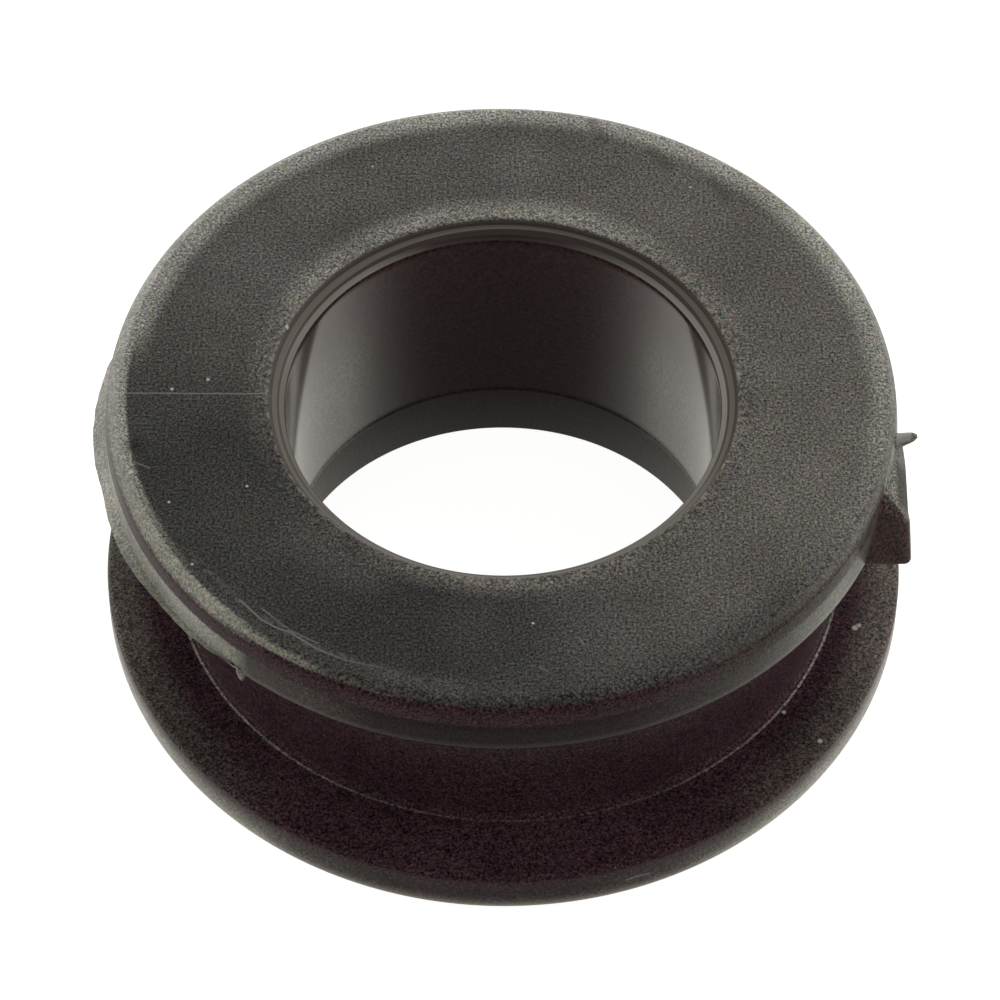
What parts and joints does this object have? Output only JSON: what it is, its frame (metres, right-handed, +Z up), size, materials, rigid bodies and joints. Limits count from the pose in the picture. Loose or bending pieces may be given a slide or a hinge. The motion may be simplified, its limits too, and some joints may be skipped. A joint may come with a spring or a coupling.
{
  "type": "gear lever bushing",
  "caption": "Flanged rubber bush: a short tube with a groove around it, pushed into a plate's round hole so that a lever's pin turns in it without rattle.",
  "frame": {"origin": "Centre of the lower face, where the bore's axis meets it.", "axes": "+Z runs up the bore, from the lower flange to the upper one. +X points to the side of the rim with the moulding gate's stub, and the flash fin is on the -X side."},
  "size_m": [0.022, 0.022, 0.009],
  "materials": {
    "moulded_rubber": "satin black moulded rubber, smoother in the bore and the groove, with light scuffs and dust"
  },
  "bodies": {
    "root": {"bushing": "moulded_rubber"}
  },
  "joints": []
}
